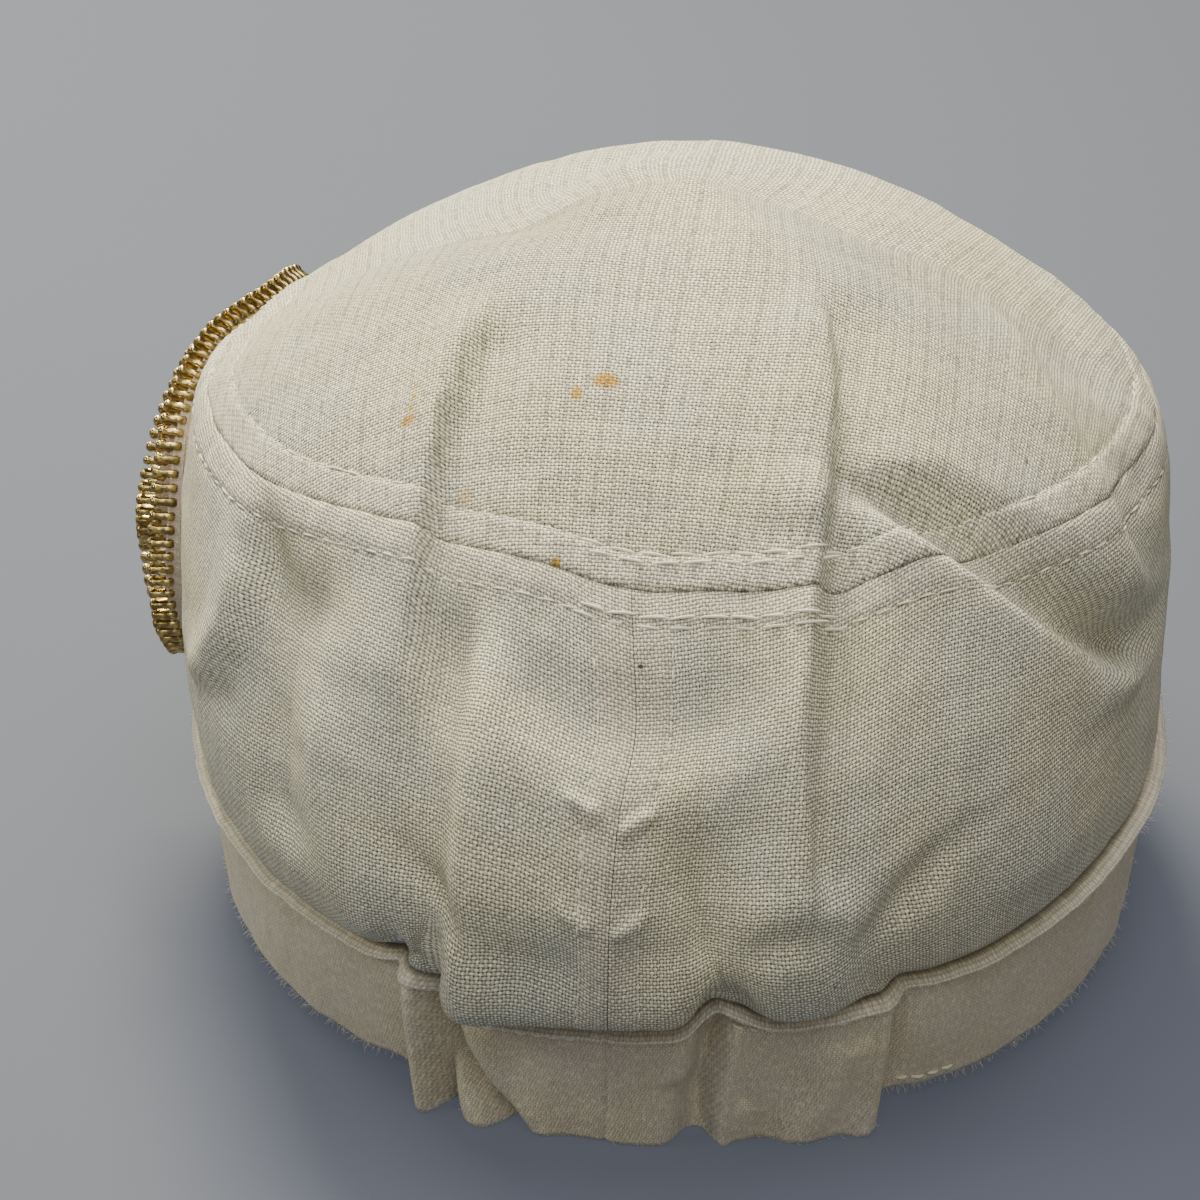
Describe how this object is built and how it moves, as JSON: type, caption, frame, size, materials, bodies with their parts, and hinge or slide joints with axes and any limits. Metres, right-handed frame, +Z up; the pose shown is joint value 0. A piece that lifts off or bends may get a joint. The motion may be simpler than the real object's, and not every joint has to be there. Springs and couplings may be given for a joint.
{
  "type": "cadet cap",
  "caption": "Short round cadet cap of open-weave cloth with a gathered headband, a stiff curved peak and a zipper-strip ornament on the wearer's left side.",
  "frame": {"origin": "Middle of the cap's bounding box in plan, on the surface that the cap rests on.", "axes": "+Z up, -Y towards the peak, +Y the gathered back, +X the wearer's left, where the zipper ornament is."},
  "size_m": [0.1846, 0.2478, 0.1268],
  "materials": {
    "linen": "plain open weave, matt",
    "twill": "fine brushed twill, soft sheen",
    "tape": "woven tape, matt",
    "brass": "polished, slightly worn"
  },
  "bodies": {
    "root": {"crown_top": "linen", "side_left": "linen", "side_right": "linen", "headband": "twill", "peak": "twill", "zip_tape_outer": "tape", "zip_teeth_outer": "brass", "zip_tape_inner": "tape", "zip_teeth_inner": "brass"}
  },
  "joints": []
}
